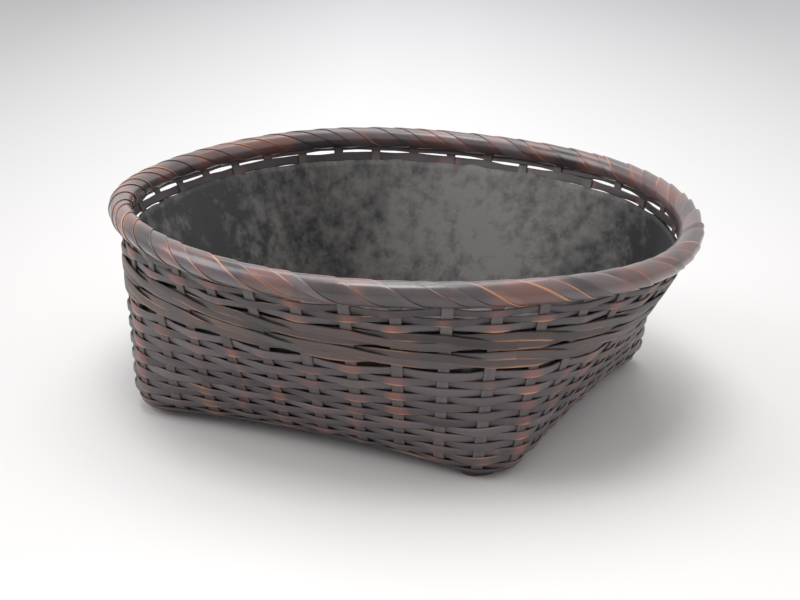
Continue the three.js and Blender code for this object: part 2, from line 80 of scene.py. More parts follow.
@dataclass(frozen=True)
class BasketForm:
    """The basket's shape: the base outline, the floor, the wall and the rim roll's middle line."""

    rim_outer_radius: float = 140 * MM
    rim_height: float = 90.4 * MM
    corner_rise: float = 0.9 * MM
    saddle: float = 1.5 * MM
    roll_radius: float = 5.4 * MM
    base_half: float = 94.2 * MM
    base_corner_radius: float = 21.6 * MM
    base_sag: float = 2.9 * MM
    base_arch: float = 3.3 * MM
    base_skew: float = 0.044
    floor_height: float = 3.154 * MM
    floor_reach: float = 78 * MM
    fold_radius: float = 8.4 * MM
    row_dip: float = 4.5 * MM
    corner_share: float = 0.16
    per_side: int = 10
    sides: int = 4
    slope_step: float = 0.004
    hang_scale: float = 27.0  # makes row_dip the greatest depth of a row that hangs lower

    @property
    def stakes(self) -> int:
        """Stakes round the whole basket."""
        return self.per_side * self.sides

    @property
    def pitch(self) -> float:
        """Distance between two stakes on a side."""
        return 2 * (self.base_half - self.base_corner_radius * self.corner_share) / self.per_side

    @property
    def rim_radius(self) -> float:
        """Radius of the roll's middle line."""
        return self.rim_outer_radius - self.roll_radius

    @property
    def wall_height(self) -> float:
        """Height of the wall from the woven floor to the underside of the roll, at a corner."""
        return self.rim_height - self.roll_radius - self.floor_height

    def skewed(self, x: float, y: float) -> tuple[float, float]:
        """The base is squashed a little along the diagonal to +X -Y."""
        return x + self.base_skew * y, y + self.base_skew * x

    def floor_at(self, x: float, y: float) -> float:
        """Height of the woven floor's middle plane. Its corners are lowest.

        Args:
            x: place along X, before the base is skewed.
            y: place along Y.

        Returns:
            The height above the table.
        """
        reach = self.base_half - self.fold_radius
        share = min(1.0, (x / reach) ** 2) * min(1.0, (y / reach) ** 2)
        return self.floor_height + self.base_arch * (1 - share)

    def outline(self, s: float, inset: float) -> tuple[float, float]:
        """Base outline.

        Args:
            s: place number.
            inset: how far the outline is drawn in.

        Returns:
            The point's x and y before the base is skewed.
        """
        side = math.floor(s / self.per_side)
        half = self.per_side / 2
        along = (s - side * self.per_side - half) * self.pitch
        straight = self.base_half - self.base_corner_radius
        over = abs(along) - straight
        if over <= 0:
            out = self.base_half - self.base_sag * (1 - (along / straight) ** 2) - inset
            across = along
        else:
            turn = over / (half * self.pitch - straight) * math.pi / 4
            radius = self.base_corner_radius - inset
            out = straight + radius * math.cos(turn)
            across = math.copysign(straight + radius * math.sin(turn), along)
        angle = side * math.pi / 2
        c, n = math.cos(angle), math.sin(angle)
        return out * c - across * n, out * n + across * c

    def turn_of(self, s: float) -> float:
        """Angle along the rim over place s."""
        return s / self.stakes * 2 * math.pi

    def rim_point(self, turn: float, radial: float = 0.0, up: float = 0.0) -> Vector:
        """A point on or in the rim roll.

        Args:
            turn: angle along the rim from the corner at +X -Y.
            radial: distance outwards from the roll's middle line.
            up: distance upwards from it.

        Returns:
            The point.
        """
        angle = turn - math.pi / 4
        rise = self.corner_rise * math.cos(4 * turn) - self.saddle * math.sin(2 * turn)
        radius = self.rim_radius + radial
        return Vector((radius * math.cos(angle), radius * math.sin(angle), self.rim_height + rise + up))

    def wall(self, s: float, t: float) -> Vector:
        """A point on the middle surface of the wall.

        Args:
            s: place number.
            t: share of the wall's height.

        Returns:
            The point.
        """
        around = s % self.stakes
        low = self.floor_at(*self.outline(around, self.fold_radius))
        top = self.rim_point(self.turn_of(around))
        height = t * (top.z - self.roll_radius - low)
        left = max(0.0, self.fold_radius - height)
        inset = self.fold_radius - math.sqrt(self.fold_radius**2 - left**2)
        x, y = self.skewed(*self.outline(around, inset))
        return Vector((x + (top.x - x) * t, y + (top.y - y) * t, low + height))

    def wall_axes(self, s: float, t: float) -> tuple[Vector, Vector]:
        """Directions on the wall.

        Args:
            s: place number.
            t: share of the wall's height.

        Returns:
            The way up the wall and the way out of it.
        """
        along = self.wall(s + 0.5, t) - self.wall(s - 0.5, t)
        above = self.wall(s, min(1.0, t + self.slope_step))
        up = above - self.wall(s, max(0.0, t - self.slope_step))
        out = along.cross(up).normalized()
        return out.cross(along.normalized()), out

    def hung(self, height: float, s: float) -> tuple[float, float]:
        """How a row hangs: lower between the corners, most of all in the lower half of the wall.

        Args:
            height: the row's height at a corner.
            s: place number.

        Returns:
            The share of the wall's height at which it runs, and how far apart the rows are there.
        """
        share = height / self.wall_height
        place = (s % self.per_side) / self.per_side
        depth = self.hang_scale * self.row_dip / self.wall_height * place * (1 - place)
        return share - depth * share * (1 - share) ** 2, 1 - depth * (1 - share) * (1 - 3 * share)


FORM = BasketForm()


@dataclass
class Wander:
    """A smooth, seeded wavering along a strip, such as a hand-split strip has."""

    seed: int
    knots: int
    reach: float
    values: list[float] = field(init=False)

    def __post_init__(self) -> None:
        """Draw one value for each knot."""
        dice = random.Random(self.seed)
        self.values = [dice.uniform(-self.reach, self.reach) for _ in range(self.knots)]

    def at(self, share: float) -> float:
        """The wavering at a share of the strip's length. It closes on itself."""
        place = (share % 1.0) * self.knots
        low = math.floor(place)
        ease = (1 - math.cos((place - low) * math.pi)) / 2
        a, b = self.values[low % self.knots], self.values[(low + 1) % self.knots]
        return a + (b - a) * ease


@dataclass(frozen=True)
class StripSection:
    """The cross-section of a split strip: flat faces, rounded edges, a slight crown outside."""

    width: float
    thickness: float
    crown: float = 0.0
    squareness: float = 0.4
    corners: int = 12

    def point(self, share: float) -> tuple[float, float]:
        """A point round the section.

        Args:
            share: how far round, from 0 to 1.

        Returns:
            Its place across the strip and its place through it, in metres.
        """
        angle = 2 * math.pi * (share + 0.5 / self.corners)
        c, n = math.cos(angle), math.sin(angle)
        x = math.copysign(abs(c) ** self.squareness, c)
        y = math.copysign(abs(n) ** self.squareness, n)
        crown = self.crown * (1 - x * x) if y > 0 else 0.0
        return x * self.width / 2, y * self.thickness / 2 + crown


@dataclass
class SpinePoint:
    """One point of a strip's middle line, with what the strip does there."""

    place: Vector
    across: Vector
    wear: float = 0.0
    width: float = 1.0


@dataclass(frozen=True)
class Placed:
    """Where one corner of a swept strip lies, and the marks that its finish reads."""

    place: Vector
    wear: float
    edge: float
    tone: float


def swept(name: str, steps: int, corners: int, closed: bool, uv_size: tuple[float, float],
          uv_shift: float, place: Callable[[int, int], Placed]) -> bpy.types.Object:
    """Bend a grid into a closed strip.

    Args:
        name: the new piece's name.
        steps: steps along the strip.
        corners: corners of its section.
        closed: whether the strip closes on itself.
        uv_size: the strip's length and the way round its section, in metres.
        uv_shift: where along the grain the strip was cut from the cane.
        place: gives each corner's place, for its step and its number round the section.

    Returns:
        The new object.
    """
    mesh = bmesh.new()
    uv = mesh.loops.layers.uv.new(STRIP_UV)
    marks = {key: mesh.verts.layers.float.new(key) for key in (WEAR, EDGE, TONE)}
    bmesh.ops.create_grid(mesh, x_segments=steps, y_segments=corners, size=0.5, calc_uvs=True)
    for vert in mesh.verts:
        i = round((vert.co.x + 0.5) * steps)
        j = round((vert.co.y + 0.5) * corners)
        corner = place(i % steps if closed else i, j % corners)
        vert.co = corner.place
        vert[marks[WEAR]] = corner.wear
        vert[marks[EDGE]] = corner.edge
        vert[marks[TONE]] = corner.tone
    for face in mesh.faces:
        face.smooth = True
        for loop in face.loops:
            u, v = loop[uv].uv
            loop[uv].uv = (u * uv_size[0] + uv_shift, v * uv_size[1])
    bmesh.ops.remove_doubles(mesh, verts=mesh.verts, dist=WELD)
    if not closed:
        bmesh.ops.holes_fill(mesh, edges=[e for e in mesh.edges if e.is_boundary], sides=0)
    bmesh.ops.recalc_face_normals(mesh, faces=mesh.faces)
    return finished(name, mesh)


def finished(name: str, mesh: bmesh.types.BMesh) -> bpy.types.Object:
    """Turn a bmesh into an object of the scene.

    Args:
        name: the object's name.
        mesh: its mesh, which is used up.

    Returns:
        The object, at the origin.
    """
    data = bpy.data.meshes.new(name)
    mesh.to_mesh(data)
    mesh.free()
    piece = bpy.data.objects.new(name, data)
    bpy.context.scene.collection.objects.link(piece)
    return piece


def strip(name: str, spine: list[SpinePoint], section: StripSection, closed: bool, tone: float,
          uv_shift: float) -> bpy.types.Object:
    """A strip that follows a spine.

    Args:
        name: the new piece's name.
        spine: the points that its middle line goes through.
        section: its cross-section.
        closed: whether it closes on itself.
        tone: how light this strip is among its fellows, from 0 to 1.
        uv_shift: where along the grain the strip was cut.

    Returns:
        The new object.
    """
    count = len(spine)
    normals = []
    length = 0.0
    for i, point in enumerate(spine):
        before = spine[(i - 1) % count if closed else max(0, i - 1)].place
        after = spine[(i + 1) % count if closed else min(count - 1, i + 1)].place
        run = after - before
        length += run.length / 2
        normals.append(run.cross(point.across).normalized())

    def place(i: int, j: int) -> Placed:
        """Where corner j of section i lies."""
        point = spine[i]
        x, y = section.point(j / section.corners)
        spot = point.place + point.across * x * point.width + normals[i] * y
        return Placed(spot, point.wear, 2 * x / section.width, tone)

    around = 2 * (section.width + section.thickness)
    steps = count if closed else count - 1
    return swept(name, steps, section.corners, closed, (length, around), uv_shift, place)


def eased(points: list[SpinePoint], per: int) -> list[SpinePoint]:
    """Smooth a coarse spine with a curve through its points.

    Args:
        points: the coarse spine.
        per: new points for each old one.

    Returns:
        The smooth spine.
    """
    smooth = []
    last = len(points) - 1
    for i in range(last):
        a, b, c, d = (points[min(last, max(0, i + k))] for k in (-1, 0, 1, 2))
        for k in range(per):
            t = k / per
            place = 0.5 * (2 * b.place + (c.place - a.place) * t
                           + (2 * a.place - 5 * b.place + 4 * c.place - d.place) * t**2
                           + (3 * b.place - a.place - 3 * c.place + d.place) * t**3)
            across = b.across.lerp(c.across, t).normalized()
            width = b.width + (c.width - b.width) * t
            smooth.append(SpinePoint(place, across, b.wear, width))
    smooth.append(points[-1])
    return smooth


class Board:
    """A node tree under construction."""

    def __init__(self, name: str) -> None:
        """Start a material with nothing in it but its output."""
        self.material = bpy.data.materials.new(name)
        self.material.use_nodes = True
        self.tree = self.material.node_tree
        self.tree.nodes.clear()
        self.output = self.tree.nodes.new("ShaderNodeOutputMaterial")

    def node(self, kind: str, inputs: dict[str | int, object] | None = None,
             **settings: object) -> bpy.types.Node:
        """Add a node.

        Args:
            kind: the node's type.
            inputs: what goes into its sockets: a value, or another node's socket.
            settings: its other settings.

        Returns:
            The node.
        """
        made = self.tree.nodes.new(kind)
        for key, value in settings.items():
            setattr(made, key, value)
        for key, value in (inputs or {}).items():
            if isinstance(value, bpy.types.NodeSocket):
                self.tree.links.new(value, made.inputs[key])
            else:
                made.inputs[key].default_value = value
        return made

    def mark(self, name: str) -> bpy.types.NodeSocket:
        """A mark that the mesh carries."""
        return self.node("ShaderNodeAttribute", attribute_name=name).outputs["Fac"]

    def grain(self, scale: Triple, shift: float = 0.0) -> bpy.types.NodeSocket:
        """The strip's own coordinates, stretched along the grain.

        Args:
            scale: how fine the pattern is along the strip, round it and through it.
            shift: moves one pattern off another.

        Returns:
            The socket that gives them.
        """
        uv = self.node("ShaderNodeUVMap", uv_map=STRIP_UV).outputs["UV"]
        inputs = {"Vector": uv, "Scale": scale, "Location": (shift, shift, shift)}
        return self.node("ShaderNodeMapping", inputs).outputs["Vector"]

    def place(self) -> bpy.types.NodeSocket:
        """Coordinates of the basket itself."""
        return self.node("ShaderNodeTexCoord").outputs["Object"]

    def noise(self, vector: bpy.types.NodeSocket, scale: float, detail: float = 3.0,
              roughness: float = 0.55, distortion: float = 0.0) -> bpy.types.NodeSocket:
        """Soft noise between 0 and 1.

        Args:
            vector: the coordinates that it reads.
            scale: how fine it is.
            detail: how many finer layers it has.
            roughness: how strong they are.
            distortion: how much it is stirred.

        Returns:
            The socket that gives it.
        """
        inputs = {"Vector": vector, "Scale": scale, "Detail": detail, "Roughness": roughness,
                  "Distortion": distortion}
        return self.node("ShaderNodeTexNoise", inputs).outputs["Fac"]

    def spread(self, value: bpy.types.NodeSocket, low: float, high: float, to_low: float = 0.0,
               to_high: float = 1.0) -> bpy.types.NodeSocket:
        """Map a range onto another, held at its ends.

        Args:
            value: what is mapped.
            low: the range's start.
            high: its end.
            to_low: what the start becomes.
            to_high: what the end becomes.

        Returns:
            The socket that gives the result.
        """
        inputs = {"Value": value, "From Min": low, "From Max": high, "To Min": to_low, "To Max": to_high}
        return self.node("ShaderNodeMapRange", inputs).outputs["Result"]

    def math(self, operation: str, a: object, b: object) -> bpy.types.NodeSocket:
        """One sum done on two values."""
        return self.node("ShaderNodeMath", {0: a, 1: b}, operation=operation).outputs[0]

    def mix(self, share: object, a: object, b: object) -> bpy.types.NodeSocket:
        """Mix two colours."""
        return self.node("ShaderNodeMix", {"Factor": share, 6: a, 7: b}, data_type="RGBA").outputs[2]

    def times(self, a: object, b: object) -> bpy.types.NodeSocket:
        """The product of two values."""
        return self.math("MULTIPLY", a, b)

    def bump(self, height: bpy.types.NodeSocket, distance: float, strength: float = 1.0,
             normal: bpy.types.NodeSocket | None = None) -> bpy.types.NodeSocket:
        """Small relief on the surface.

        Args:
            height: the pattern that stands up.
            distance: how far it stands up.
            strength: how much of it shows.
            normal: relief that it is laid over.

        Returns:
            The socket that gives the new normal.
        """
        inputs = {"Height": height, "Distance": distance, "Strength": strength}
        if normal is not None:
            inputs["Normal"] = normal
        return self.node("ShaderNodeBump", inputs).outputs["Normal"]

    def surface(self, shader: bpy.types.NodeSocket) -> bpy.types.Material:
        """Join the shader to the output."""
        self.tree.links.new(shader, self.output.inputs["Surface"])
        return self.material


def rgb(red: int, green: int, blue: int) -> Colour:
    """A colour as it looks on a screen, from 0 to 255, turned into light."""
    def light(value: int) -> float:
        """One channel."""
        share = value / 255
        return share / 12.92 if share <= 0.04045 else ((share + 0.055) / 1.055) ** 2.4
    return light(red), light(green), light(blue), 1.0


@dataclass(frozen=True)
class SmokedBamboo:
    """Bamboo darkened by smoke, with dust in its grain and wear where hands and charcoal rub it."""

    name: str
    dark: Colour
    light: Colour
    red: Colour
    worn: Colour
    red_amount: float = 0.6
    worn_amount: float = 0.6
    edge_amount: float = 0.4
    edge_start: float = 0.56
    roughness: float = 0.45
    specular: float = 0.5
    coat: float = 0.0
    grain_depth: float = 0.05 * MM
    fibre_scale: Triple = (22.0, 2600.0, 1.0)
    streak_scale: Triple = (9.0, 420.0, 1.0)
    patch_scale: Triple = (34.0, 90.0, 1.0)
    column_scale: Triple = (46.0, 46.0, 14.0)
    cloud_scale: float = 26.0
    coat_roughness: float = 0.15

    def material(self) -> bpy.types.Material:
        """Build the material.

        Returns:
            The material, which reads the strip's own coordinates and marks.
        """
        board = Board(self.name)
        fibre = board.noise(board.grain(self.fibre_scale), 1.0, 4.0, 0.6)
        streak = board.noise(board.grain(self.streak_scale, 3.7), 1.0, 3.0, 0.5)
        patch = board.noise(board.grain(self.patch_scale, 8.1), 1.0, 2.0, 0.5)
        column = board.node("ShaderNodeMapping", {"Vector": board.place(), "Scale": self.column_scale})
        column = board.noise(column.outputs["Vector"], 1.0, 2.0, 0.5)
        cloud = board.noise(board.place(), self.cloud_scale, 3.0, 0.6)
        # The strip's own tone, and dark fibres in it
        tone = board.math("ADD", board.mark(TONE), board.math("SUBTRACT", streak, 0.5))
        base = board.mix(board.spread(tone, 0.1, 0.95), self.dark, self.light)
        base = board.mix(board.spread(fibre, 0.35, 0.75, 0.0, 0.35), base, self.dark)
        # Rubbed red on the crests of some columns, and bare along their lower edges
        rubbed = board.times(board.spread(board.mark(WEAR), 0.4, 0.95), board.spread(column, 0.44, 0.58))
        reddened = board.times(rubbed, board.spread(patch, 0.3, 0.6, 0.35, 1.0))
        base = board.mix(board.times(reddened, self.red_amount), base, self.red)
        across = board.mark(EDGE)
        lower = board.spread(across, -0.9, -0.35, 1.0, 0.0)
        bare = board.times(board.times(rubbed, lower), board.spread(streak, 0.4, 0.55))
        base = board.mix(board.times(bare, self.worn_amount), base, self.worn)
        # Chipped edges, and dust over everything
        rim = board.spread(board.math("ABSOLUTE", across, 0.0), 0.78, 0.98)
        chipped = board.times(rim, board.spread(patch, self.edge_start, self.edge_start + 0.1))
        base = board.mix(board.times(chipped, self.edge_amount), base, self.worn)
        base = board.mix(board.spread(cloud, 0.4, 0.75, 0.0, 0.25), base, self.light)
        rough = board.spread(cloud, 0.3, 0.7, self.roughness - 0.07, self.roughness + 0.1)
        relief = board.bump(fibre, self.grain_depth, 0.6)
        relief = board.bump(streak, self.grain_depth * 2, 0.5, relief)
        inputs = {"Base Color": base, "Roughness": rough, "Normal": relief,
                  "Specular IOR Level": self.specular, "Coat Weight": self.coat,
                  "Coat Roughness": self.coat_roughness}
        return board.surface(board.node("ShaderNodeBsdfPrincipled", inputs).outputs["BSDF"])


@dataclass(frozen=True)
class LacqueredPaper:
    """Black lacquer on paper, gone dull with dust in patches, with a lighter spot on the far inner wall
    that is partly dust and partly painted light.
    """

    name: str = "lacquered_paper"
    lacquer: Colour = rgb(48, 48, 50)
    # also the colour of the painted pool of light on the far inner wall
    dust: Colour = rgb(106, 105, 103)
    rub: Colour = rgb(86, 74, 66)
    # centre of a lighter spot, partly dust and partly a painted pool of light
    dust_and_light_spot: Triple = (-0.03, 0.085, 0.03)
    broad_scale: float = 13.0
    fine_scale: float = 130.0
    run_scale: float = 120.0
    run_stretch: Triple = (1.0, 1.0, 0.22)
    shares: Triple = (0.44, 0.42, 0.14)  # of the broad, fine and running dust
    specular: float = 0.35

    def material(self) -> bpy.types.Material:
        """Build the material.

        Returns:
            The material, which reads the basket's own coordinates.
        """
        board = Board(self.name)
        place = board.place()
        broad = board.noise(place, self.broad_scale, 3.0, 0.55, 0.4)
        fine = board.noise(place, self.fine_scale, 6.0, 0.68)
        tall = board.node("ShaderNodeMapping", {"Vector": place, "Scale": self.run_stretch})
        run = board.noise(tall.outputs["Vector"], self.run_scale, 3.0, 0.6)
        dust_and_light = board.math("ADD", board.times(broad, self.shares[0]), board.times(fine, self.shares[1]))
        dust_and_light = board.math("ADD", dust_and_light, board.times(run, self.shares[2]))
        # Lighter round a point on the far inner wall: partly dust, partly a painted pool of light, laid on
        # in the dust colour
        away = board.node("ShaderNodeVectorMath", {0: place, 1: self.dust_and_light_spot}, operation="DISTANCE")
        dust_and_light = board.math("ADD", dust_and_light, board.spread(away.outputs["Value"], 0.03, 0.15, 0.045, -0.07))
        base = board.mix(board.spread(dust_and_light, 0.455, 0.6), self.lacquer, self.dust)
        base = board.mix(board.spread(fine, 0.62, 0.75, 0.0, 0.3), base, self.rub)
        rough = board.spread(dust_and_light, 0.42, 0.62, 0.5, 0.85)
        relief = board.bump(fine, 0.25 * MM, 0.5)
        relief = board.bump(broad, 1.2 * MM, 0.5, relief)
        inputs = {"Base Color": base, "Roughness": rough, "Normal": relief,
                  "Specular IOR Level": self.specular}
        return board.surface(board.node("ShaderNodeBsdfPrincipled", inputs).outputs["BSDF"])


WEAVER_BAMBOO = SmokedBamboo("weaver_bamboo", rgb(60, 55, 57), rgb(106, 99, 101), rgb(150, 94, 84),
                             rgb(222, 164, 112), red_amount=0.7, worn_amount=0.85, edge_amount=0.35)
WALING_BAMBOO = SmokedBamboo("waling_bamboo", rgb(46, 42, 42), rgb(86, 81, 81), rgb(112, 76, 70),
                             rgb(214, 160, 112), red_amount=0.3, edge_amount=0.55)
STAKE_BAMBOO = SmokedBamboo("stake_bamboo", rgb(60, 56, 57), rgb(100, 95, 96), rgb(112, 80, 74),
                            rgb(170, 130, 98), red_amount=0.2, worn_amount=0.2, edge_amount=0.1,
                            roughness=0.5)
FOOT_BAMBOO = SmokedBamboo("foot_bamboo", rgb(44, 34, 35), rgb(74, 60, 60), rgb(96, 58, 54),
                           rgb(120, 80, 66), red_amount=0.6, worn_amount=0.2, edge_amount=0.0,
                           roughness=0.4)
HOOP_BAMBOO = SmokedBamboo("hoop_bamboo", rgb(38, 30, 27), rgb(66, 52, 46), rgb(80, 52, 42),
                           rgb(120, 88, 62), edge_amount=0.2, roughness=0.6)
WRAP_BAMBOO = SmokedBamboo("wrap_bamboo", rgb(50, 42, 44), rgb(96, 86, 90), rgb(128, 76, 64),
                           rgb(214, 146, 96), red_amount=0.85, worn_amount=0.4, edge_amount=0.9,
                           edge_start=0.53, roughness=0.3, specular=0.6, coat=0.5)


@dataclass
class FloorWeave:
    """Ten strips each way, woven under the lining and turned up as the wall's stakes."""

    section: StripSection = StripSection(5.0 * MM, 1.0 * MM, 0.08 * MM, 0.3)
    wave: float = 0.95 * MM
    fold_steps: tuple[float, ...] = (0.05, 0.2, 0.4, 0.6, 0.8, 1.0)
    wall_steps: tuple[float, ...] = (0.2, 0.35, 0.5, 0.65, 0.8, 0.9, 1.0)
    per: int = 3
    wall_wear: float = 0.5
    floor_wear: float = 0.3
    seed: int = 11

    def rise(self, s: float) -> list[SpinePoint]:
        """A stake from the fold up into the rim roll.

        Args:
            s: place number.

        Returns:
            Its points, lowest first.
        """
        shares = [v * FORM.fold_radius / FORM.wall_height for v in self.fold_steps]
        points = []
        for t in [*shares, *self.wall_steps]:
            up, out = FORM.wall_axes(s, t)
            points.append(SpinePoint(FORM.wall(s, t), up.cross(out), self.wall_wear))
        top = FORM.rim_point(FORM.turn_of(s))
        points.append(SpinePoint(top, points[-1].across, self.wall_wear))
        return points

    def crossing(self, order: int, along_x: bool) -> list[SpinePoint]:
        """The part of a strip that lies in the floor.

        Args:
            order: the strip's number in its set.
            along_x: whether it runs along X.

        Returns:
            Its points, one over or under each strip that it crosses.
        """
        def line(number: int) -> float:
            """How far from the middle a strip lies."""
            away = (number + 0.5 - FORM.per_side / 2) * FORM.pitch
            return max(-FORM.floor_reach, min(FORM.floor_reach, away))

        across = Vector((*(FORM.skewed(0, 1) if along_x else FORM.skewed(-1, 0)), 0)).normalized()
        points = []
        for i in range(FORM.per_side):
            sign = 1 if (i + order) % 2 == (0 if along_x else 1) else -1
            x, y = (line(i), line(order)) if along_x else (line(order), line(i))
            place = Vector((*FORM.skewed(x, y), FORM.floor_at(x, y) + sign * self.wave))
            points.append(SpinePoint(place, across, self.floor_wear))
        return points

    def build(self) -> None:
        """Make all twenty strips."""
        finish = STAKE_BAMBOO.material()
        dice = random.Random(self.seed)
        half = FORM.per_side / 2
        for axis in "xy":
            along_x = axis == "x"
            for order in range(FORM.per_side):
                place = order + 0.5 - half
                if along_x:
                    ends = FORM.per_side * 2 + half - place, half + place
                else:
                    ends = FORM.per_side * 3 + half + place, FORM.per_side + half - place
                start = self.rise(ends[0])
                for point in start:
                    point.across = -point.across
                spine = [*reversed(start), *self.crossing(order, along_x), *self.rise(ends[1])]
                name = f"floor_strip_{axis}{order + 1}"
                piece = strip(f"bamboo_{name}", eased(spine, self.per), self.section, False,
                              dice.uniform(0.35, 0.9), dice.uniform(0, 5))
                settle(piece, finish, "stakes", name)


@dataclass
class CornerFeet:
    """A smooth pad of bamboo under each corner of the floor, rounded by use."""

    reach: float = 112 * MM
    shift: float = 2.8 * MM
    length: float = 17 * MM
    width: float = 14 * MM
    height: float = 6.4 * MM
    middle: float = 2.2 * MM
    steps: int = 28
    corners: int = 24
    tip: float = 0.02
    roundness: float = 0.7
    wear: float = 0.6
    tone: float = 0.3

    def build(self) -> None:
        """Make the four feet."""
        finish = FOOT_BAMBOO.material()
        for corner in range(FORM.sides):
            angle = (corner - 0.5) * math.pi / 2
            c, n = math.cos(angle), math.sin(angle)

            def place(i: int, j: int) -> Placed:
                """Where corner j of section i lies. The underside is flat on the table."""
                share = i / self.steps
                size = max(self.tip, math.sin(math.pi * share)) ** self.roundness
                turn = 2 * math.pi * j / self.corners
                side = -self.shift - math.cos(math.pi * share) * self.length / 2
                far = self.reach + size * math.cos(turn) * self.width / 2
                high = max(0.0, self.middle + size * math.sin(turn) * self.height / 2)
                x, y = FORM.skewed(far * c - side * n, far * n + side * c)
                return Placed(Vector((x, y, high)), self.wear, 0.0, self.tone)

            name = f"corner_foot_{corner + 1}"
            size = (self.length, 2 * self.width)
            piece = swept(f"bamboo_{name}", self.steps, self.corners, False, size, corner, place)
            settle(piece, finish, "feet", name)


@dataclass(frozen=True)
class RowStyle:
    """How one kind of row is cut, and how much its height and its width waver."""

    width: float
    thickness: float
    reach: float
    breadth: float


ROW_STYLES = {
    Course.PLAIN: RowStyle(4.3 * MM, 1.0 * MM, 0.16 * MM, 0.06),
    Course.WALING: RowStyle(4.3 * MM, 1.0 * MM, 0.3 * MM, 0.06),
    Course.THIN: RowStyle(3.7 * MM, 0.85 * MM, 0.55 * MM, 0.12),
}


@dataclass
class WovenRows:
    """The rows woven through the stakes: plain ones, two courses of waling, and thin ones on top."""

    wave: float = 1.0 * MM
    sharpness: float = 1.4
    pinch: float = 0.15
    crown: float = 0.12 * MM
    far_widths: tuple[float, ...] = (-0.1, 0.3, -0.1)
    far_lifts: tuple[float, ...] = (0.0, 1.4 * MM, 2.4 * MM)
    lane: float = 4.2 * MM
    plain_start: float = 3.8 * MM
    plain_pitch: float = 3.812 * MM
    plain_rows: int = 13
    wale_start: float = 57.445 * MM
    wale_pitch: float = 8.4 * MM
    wale_courses: int = 2
    wale_strands: int = 3
    wale_outs: tuple[float, ...] = (1.0, 1.1, 1.15, 1.35, 1.15, 1.1, 1.0, 0.0, -1.0, -1.2, -1.0, 0.0)
    wale_rises: tuple[float, ...] = (0.95, 0.9, 0.62, 0.0, -0.62, -0.9, -0.95, -0.85, -0.5, 0.0, 0.5, 0.85)
    hold_start: float = 18.5
    hold_end: float = 22.5
    thin_start: float = 71.9 * MM
    thin_pitch: float = 3.5 * MM
    thin_rows: int = 3
    edge_height: float = 1.3 * MM
    edge_out: float = 1.0 * MM
    edge_section: StripSection = StripSection(3.7 * MM, 1.5 * MM, 0.3 * MM, 0.55)
    edge_reach: float = 0.25 * MM
    edge_breadth: float = 0.12
    edge_tone: float = 0.1
    edge_seed: int = 61
    plain_seed: int = 100
    wale_seed: int = 300
    thin_seed: int = 500
    seed_step: int = 10
    per: int = 8

    def spine(self, height: float, step: Step, waver: Wander, breadth: Wander,
              taper: float = 0.0) -> list[SpinePoint]:
        """A row's middle line.

        Args:
            height: its height up the wall, at a corner.
            step: gives, at each place number, the way out from the wall and up it.
            waver: wavering of the height.
            breadth: wavering of the width, as a share.
            taper: how much broader it is at the far corner, as a share.

        Returns:
            Its points, right round the basket.
        """
        points = []
        count = FORM.stakes * self.per
        for i in range(count):
            s = i / self.per
            out, rise = step(s)
            share = i / count
            t, spread = FORM.hung(height + rise + waver.at(share), s)
            up, away = FORM.wall_axes(s, t)
            place = FORM.wall(s, t) + away * out
            bare = 1 - min(1.0, abs(out) / self.wave)
            width = spread * (1 + breadth.at(share) + taper * self.far_share(s) - self.pinch * bare)
            points.append(SpinePoint(place, up, max(0.0, out / self.wave), width))
        return points

    def far_share(self, s: float) -> float:
        """How near a place is to the far corner, from 0 at the first corner to 1."""
        return (1 - math.cos(FORM.turn_of(s))) / 2

    def plain_step(self, order: int) -> Step:
        """Over one stake and under the next.

        Args:
            order: the row's number, counted from the bottom.

        Returns:
            The function that gives the way out and up.
        """
        def step(s: float) -> tuple[float, float]:
            """The way out and up at a place."""
            swing = math.cos(math.pi * (s - 0.5 + order))
            return self.wave * math.copysign(abs(swing) ** self.sharpness, swing), 0.0
        return step

    def thin_step(self, order: int) -> Step:
        """Over and under, with the upper rows climbing towards the far corner.

        Args:
            order: the row's number among the thin ones.

        Returns:
            The function that gives the way out and up.
        """
        over = self.plain_step(order + 1)
        lift = self.far_lifts[order]

        def step(s: float) -> tuple[float, float]:
            """The way out and up at a place."""
            return over(s)[0], lift * self.far_share(s)
        return step

    def wale_step(self, strand: int) -> Step:
        """In front of four stakes, sinking from the upper lane to the lower, and behind two.

        Args:
            strand: the strand's number in its course.

        Returns:
            The function that gives the way out and up.
        """
        keys = len(self.wale_outs)

        def step(s: float) -> tuple[float, float]:
            """The way out and up at a place. At the far corner the strand runs on as it is."""
            u = s + 0.5
            if u > self.hold_start:
                u = max(self.hold_start, u + self.hold_start - self.hold_end)
            cycle = 2 * (u + 2 * strand) % keys
            low = math.floor(cycle)
            ease = (1 - math.cos((cycle - low) * math.pi)) / 2
            high = (low + 1) % keys
            out = self.wale_outs[low] + (self.wale_outs[high] - self.wale_outs[low]) * ease
            rise = self.wale_rises[low] + (self.wale_rises[high] - self.wale_rises[low]) * (cycle - low)
            return out * self.wave, rise * self.lane / 2
        return step

    def row(self, name: str, kind: Course, height: float, step: Step, seed: int,
            finish: bpy.types.Material, taper: float = 0.0) -> None:
        """Make one row.

        Args:
            name: the row's node.
            kind: what kind of row it is.
            height: its height up the wall, at a corner.
            step: the way out and up at each place.
            seed: what its wavering is drawn from.
            finish: its material.
            taper: how much broader it is at the far corner, as a share.
        """
        style = ROW_STYLES[kind]
        section = StripSection(style.width, style.thickness, self.crown)
        waver = Wander(seed, FORM.stakes, style.reach)
        breadth = Wander(seed + 1, FORM.stakes, style.breadth)
        dice = random.Random(seed + 2)
        spine = self.spine(height, step, waver, breadth, taper)
        tone, shift = dice.uniform(0.15, 0.85), dice.uniform(0, 9)
        piece = strip(f"bamboo_{name}", spine, section, True, tone, shift)
        settle(piece, finish, "waling" if kind is Course.WALING else "weavers", name)

